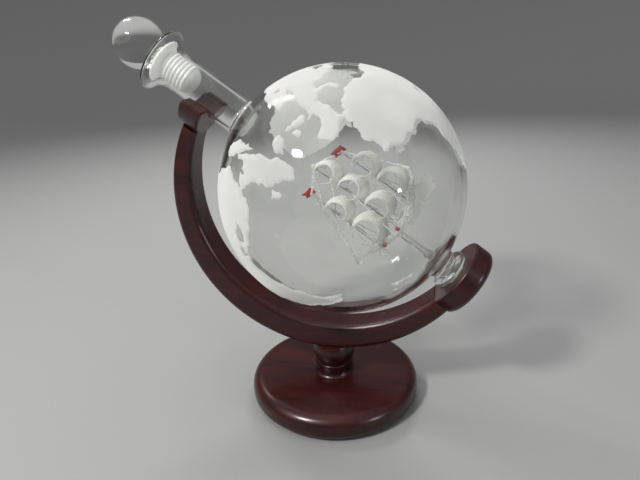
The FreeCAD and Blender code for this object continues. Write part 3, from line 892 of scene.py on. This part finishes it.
def hang_sails():
    least_lean, most_lean = -2.1, -1.5
    thread_radius = 0.76  # as a share of the sail's
    thread_inset = 0.5
    chance = random.Random(5)
    rims = Builder()
    for name in ("fore_sails", "main_sails", "mizzen_sails"):
        builder = Builder()
        for points in islands(name):
            low_along, high_along = span(points, IN_ALONG)
            low_side, high_side = span(points, IN_SIDE)
            radius = (high_along - low_along) / 2.0
            along = (low_along + high_along) / 2.0
            over = span(points, IN_OVER)[1] - radius
            lean = chance.uniform(least_lean, most_lean)
            curled_sail(builder, along, over, radius, high_side - low_side, lean)
            for end, side in ((-1.0, low_side + thread_inset), (1.0, high_side - thread_inset)):
                rim_thread(rims, along, over, radius * thread_radius, side, lean * end, chance)
        add_piece(f"{name}_sheets", builder.vertices, builder.faces, MILKY_GLASS, (name,))
    add_piece("sail_rims", rims.vertices, rims.faces, SHIP_GLASS)


def hull_outline():
    """Rows of (over, middle along, half depth, half breadth) probed from the CAD hull."""
    mesh = nodes["ship_hull"].data
    corners = [axis_coordinates(vertex.co) for vertex in mesh.vertices]
    tree = BVHTree.FromPolygons(corners, [tuple(face.vertices) for face in mesh.polygons])
    low_over, high_over = span(corners, IN_OVER)
    far = 100.0
    stations = 44
    end_inset = 0.006
    rows = []
    for station in range(stations + 1):
        share = end_inset + (1.0 - 2.0 * end_inset) * station / stations
        over = low_over + (high_over - low_over) * share
        deck = tree.ray_cast(Vector((far, over, 0.0)), Vector((-1.0, 0.0, 0.0)))[0]
        keel = tree.ray_cast(Vector((-far, over, 0.0)), Vector((1.0, 0.0, 0.0)))[0]
        middle = (deck[IN_ALONG] + keel[IN_ALONG]) / 2.0
        rail = tree.ray_cast(Vector((middle, over, far)), Vector((0.0, 0.0, -1.0)))[0]
        rows.append((over, middle, (deck[IN_ALONG] - keel[IN_ALONG]) / 2.0, rail[IN_SIDE]))
    return rows


def hull_ring(over, middle, half_depth, half_breadth):
    """One cross-section of the boat: hollow on deck, full below, and a little rippled."""
    deck_low, deck_rise = 0.30, 0.55  # deck height amidships, and its rise towards the rails
    keel_flatness = 0.18
    depth_share, breadth_share = 0.95, 0.93
    rippling = 0.05
    corners = 32
    ring = []
    for corner in range(corners):
        turn = 2.0 * math.pi * corner / corners
        height = math.cos(turn)
        width = math.sin(turn)
        ripple = 1.0 + rippling * noise.noise(Vector((over * 0.45, height * 2.0, width * 2.0)))
        if height > 0.0:
            height *= deck_low + deck_rise * abs(width) ** 3
        else:
            height *= 1.0 - keel_flatness * abs(width)
        depth = half_depth * height * ripple * depth_share
        breadth = half_breadth * width * ripple * breadth_share
        ring.append(place(middle + depth, over, breadth))
    return ring


def shape_hull():
    """An open boat of rippled glass with a bead along each rail and along the keel."""
    rail_radius, keel_radius = 0.62 * MM, 0.55 * MM
    rail_height, rail_wave, rail_out = 0.5, 0.18, 0.86
    keel_drop = 0.9
    rows = hull_outline()
    builder = Builder()
    builder.rings([hull_ring(*row) for row in rows])
    beaded_rows = rows[1:-1]
    for side in (-1.0, 1.0):
        rail = []
        for index, (over, middle, half_depth, half_breadth) in enumerate(beaded_rows):
            height = rail_height + rail_wave * math.sin(index * 1.1)
            rail.append(place(middle + half_depth * height, over, side * half_breadth * rail_out))
        builder.rod(rail, [rail_radius] * len(rail))
    keel = [place(middle - half_depth * keel_drop, over) for over, middle, half_depth, _ in beaded_rows]
    builder.rod(keel, [keel_radius] * len(keel))
    add_piece("hull_glass", builder.vertices, builder.faces, SHIP_GLASS, ("ship_hull",))


def mast_ends(name):
    """Middles of a mast's foot and top."""
    points = islands(name)[0]
    return end_of(points, IN_ALONG, min), end_of(points, IN_ALONG, max)


def thread(builder, start, end, radius, sag, chance):
    """A drawn glass thread between two (along, over, side) points, thicker where it is fused."""
    steps = 14
    sway = 0.25
    fused_swell, unevenness = 0.7, 0.12
    points = []
    radii = []
    for step in range(steps + 1):
        share = step / steps
        bow = math.sin(math.pi * share)
        shift = Vector((-sag * bow, 0.0, sway * bow * chance.uniform(-1.0, 1.0)))
        points.append(place(*(start.lerp(end, share) + shift)))
        swell = 1.0 + fused_swell * abs(2.0 * share - 1.0) ** 6 + unevenness * chance.uniform(-1.0, 1.0)
        radii.append(radius * swell * MM)
    builder.rod(points, radii, corners=8)


def rig_stays():
    """Stays between the masts, the bowsprit and the stern, and shrouds down to the rails."""
    chance = random.Random(8)
    builder = Builder()
    (fore_foot, fore), (main_foot, main), (mizzen_foot, mizzen) = map(mast_ends, MASTS)
    tip = end_of(islands("bowsprit")[0], IN_OVER, min)
    stern = max(islands("stern_curl")[0], key=lambda point: point[IN_OVER])
    beside = Vector((0.0, 0.0, 1.1))
    # Start, end, radius and how far the middle sags towards the hull.
    runs = (
        (main - beside, fore - beside, 0.46, 0.5),
        (main + beside, fore + beside, 0.46, 0.9),
        (main - beside, fore_foot.lerp(fore, 0.86), 0.40, 0.0),
        (fore, tip, 0.50, 0.5),
        (fore_foot.lerp(fore, 0.88) - beside, tip, 0.44, 0.9),
        (fore_foot.lerp(fore, 0.70) - beside, tip, 0.44, 0.3),
        (fore_foot.lerp(fore, 0.46), tip, 0.40, 0.2),
        (main_foot.lerp(main, 0.80), fore_foot.lerp(fore, 0.66), 0.36, 0.4),
        (main, mizzen, 0.42, -0.6),
        (main_foot.lerp(main, 0.7), mizzen_foot.lerp(mizzen, 0.78), 0.34, 0.3),
        (mizzen, stern, 0.46, -0.8),
    )
    for start, end, radius, sag in runs:
        thread(builder, start, end, radius, sag, chance)
    shroud_start = 0.62  # up the mast
    shroud_radius = 0.30
    rail_height, rail_step = 2.0, 3.2
    for foot, top, spread in ((fore_foot, fore, 5.0), (main_foot, main, 6.0), (mizzen_foot, mizzen, 4.4)):
        for side in (-1.0, 1.0):
            for step in (-1.0, 1.0):
                rail = foot + Vector((rail_height, rail_step * step, spread * side))
                thread(builder, foot.lerp(top, shroud_start), rail, shroud_radius, 0.0, chance)
    add_piece("rigging_threads", builder.vertices, builder.faces, SHIP_GLASS, ("stays",))


def end_of_post(pick):
    """Where the post's own axis meets its root (min) or its head (max)."""
    post = islands("ship_post")[0]
    end = middle_of(post)
    end[IN_ALONG] = pick(point[IN_ALONG] for point in post)
    return end


def weld_drops():
    """Drops of glass where masts, yards, threads and the post were melted together."""
    top_drop, foot_drop, yard_drop, post_drop = 1.05, 1.5, 0.95, 2.1
    smallest, largest = 0.85, 1.2  # as shares of those radii
    chance = random.Random(21)
    spots = []
    for name in MASTS:
        foot, top = mast_ends(name)
        spots.append((top, top_drop))
        spots.append((foot, foot_drop))
    for points in islands("yards"):
        spots.append((middle_of(points), yard_drop))
    spots.append((end_of_post(max) - Vector((1.0, 0.0, 0.0)), post_drop))
    drops = Builder()
    for spot, radius in spots:
        radii = [radius * chance.uniform(smallest, largest) * MM for _ in range(3)]
        drops.drop(place(*spot), radii)
    add_piece("weld_drops", drops.vertices, drops.faces, SHIP_GLASS)


def wind_collar():
    """Two turns of clear glass melted round the post near its root."""
    root = end_of_post(min)
    collar = Builder()
    for rise, radius, wire in ((4.6, 2.3, 0.8), (6.0, 1.9, 0.55)):
        centre = root + Vector((rise, 0.0, 0.0))
        collar.torus(place(*centre), ALONG, radius * MM, wire * MM)
    add_piece("post_collar", collar.vertices, collar.faces, POST_GLASS)


def pennant_rings(points, phase):
    """A waved, swallow-tailed flag in the place of a CAD pennant, as rings from hoist to tails."""
    length_share = 0.82
    tuck = 2.6  # how far the hoist is moved on to its mast
    wave_height, wave_length = 0.9, 5.2
    hoist_thickness, thinning = 0.32, 0.45
    narrowing = 0.12
    notch_from, notch_depth = 0.68, 0.26
    sharpest = 0.05
    steps = 22
    rows = 6
    low_over, high_over = span(points, IN_OVER)
    hoist = [point for point in points if point[IN_OVER] > high_over - 0.5]
    low_along, high_along = span(hoist, IN_ALONG)
    length = length_share * (high_over - low_over)
    rise = span(points, IN_ALONG)[1] - high_along
    rings = []
    for step in range(steps + 1):
        share = step / steps
        wave = wave_height * share * math.sin(share * wave_length + phase)
        thin = hoist_thickness * (1.0 - thinning * share)
        width = (high_along - low_along) * (1.0 - narrowing * share)
        notch = max(0.0, share - notch_from) / (1.0 - notch_from) * notch_depth
        ring = []
        for face in (1.0, -1.0):
            for row in range(rows + 1):
                across = row / rows if face > 0 else 1.0 - row / rows
                pull = notch * (1.0 - abs(2.0 * across - 1.0))
                rounded = math.sqrt(max(sharpest, 1.0 - (2.0 * across - 1.0) ** 6))
                flow = share - pull * share
                along = low_along + width * across + rise * flow
                ring.append(place(along, high_over + tuck - length * flow, wave + thin * rounded * face))
        rings.append(ring)
    return rings


def fly_pennants():
    builder = Builder()
    for index, points in enumerate(islands("pennants")):
        builder.rings(pennant_rings(points, index * 1.3))
    add_piece("pennant_flags", builder.vertices, builder.faces, RED_GLASS, ("pennants",))


# ---- stage, light and camera ----------------------------------------------------------


def build_floor():
    """A pale round floor, in metres, that sweeps up into a low wall all round."""
    flat_radius = 1.3
    sweep = 0.7
    sweep_steps = 12
    wall_height = 1.5
    centre_radius = 0.02
    corners = 96
    profile = [(centre_radius, 0.0), (flat_radius, 0.0)]
    for step in range(1, sweep_steps + 1):
        turn = math.pi / 2.0 * step / sweep_steps
        profile.append((flat_radius + sweep * math.sin(turn), sweep * (1.0 - math.cos(turn))))
    profile.append((flat_radius + sweep, wall_height))
    bowl = Builder()
    for radius, height in profile:
        centre = Vector((0.0, 0.0, height))
        bowl.vertices.extend(circle(centre, Vector((1.0, 0.0, 0.0)), SIDE, radius, corners))
    for row in range(len(profile) - 1):
        bowl.join_rings(row * corners, (row + 1) * corners, corners)
    bowl.faces.append(tuple(reversed(range(corners))))
    mesh_object("floor", bowl.vertices, bowl.faces, pale_floor())


def soft_light(name, position, width, height, power, colour=(1.0, 1.0, 1.0), mirrored=True):
    """An oval soft box aimed at the globe. One that isn't mirrored isn't seen in the glass."""
    data = bpy.data.lights.new(name, "AREA")
    data.shape = "ELLIPSE"
    data.size = width
    data.size_y = height
    data.energy = power
    data.color = colour
    light = bpy.data.objects.new(name, data)
    light.location = position
    light.rotation_mode = "QUATERNION"
    light.rotation_quaternion = (GLOBE_CENTRE - Vector(position)).to_track_quat("-Z", "Y")
    light.visible_glossy = mirrored
    light.visible_transmission = mirrored
    bpy.context.scene.collection.objects.link(light)


def light_studio():
    warm_white = (1.0, 0.985, 0.96)
    cool_white = (0.94, 0.97, 1.0)
    soft_light("key_light", (-0.44, -0.58, 0.79), 0.17, 0.12, 10.0, colour=warm_white)
    soft_light("fill_light", (0.72, -0.40, 0.27), 0.05, 0.035, 1.3, colour=cool_white)
    soft_light("back_light", (-0.10, 0.80, 0.62), 0.5, 0.3, 5.0, mirrored=False)
    soft_light("room_light", (0.0, 0.0, 1.75), 1.6, 1.6, 9.0, mirrored=False)
    soft_light("edge_light", (-0.55, 0.35, 0.80), 0.10, 0.30, 2.5)
    world = bpy.data.worlds.new("studio")
    world.use_nodes = True
    background = world.node_tree.nodes["Background"]
    background.inputs["Color"].default_value = (0.80, 0.81, 0.83, 1.0)
    background.inputs["Strength"].default_value = 0.52
    bpy.context.scene.world = world
    bpy.context.scene.view_settings.view_transform = "Standard"


def set_camera():
    """Stands in front of the globe and looks down on it, leaning a little to the left."""
    position = GLOBE_CENTRE + Vector((57.0, -285.4, 84.9)) * MM
    turn_left = math.radians(13.98)
    look_down = math.radians(21.56)
    lean = math.radians(-2.56)
    data = bpy.data.cameras.new("camera")
    data.lens = 29.45
    data.sensor_width = 36.0
    data.clip_start = 0.01
    camera = bpy.data.objects.new("camera", data)
    heading = Matrix.Rotation(turn_left, 4, "Z")
    pitch = Matrix.Rotation(math.pi / 2.0 - look_down, 4, "X")
    roll = Matrix.Rotation(lean, 4, "Z")
    camera.matrix_world = Matrix.Translation(position) @ heading @ pitch @ roll
    bpy.context.scene.collection.objects.link(camera)
    bpy.context.scene.camera = camera


def set_bounces():
    """Light has many glass walls to cross."""
    cycles = bpy.context.scene.cycles
    cycles.max_bounces = 24
    cycles.transmission_bounces = 24
    cycles.glossy_bounces = 12
    cycles.transparent_max_bounces = 32
    cycles.caustics_reflective = False
    cycles.caustics_refractive = False


dress_nodes()
etch_map()
hang_sails()
shape_hull()
rig_stays()
weld_drops()
wind_collar()
fly_pennants()
build_floor()
light_studio()
set_camera()
set_bounces()
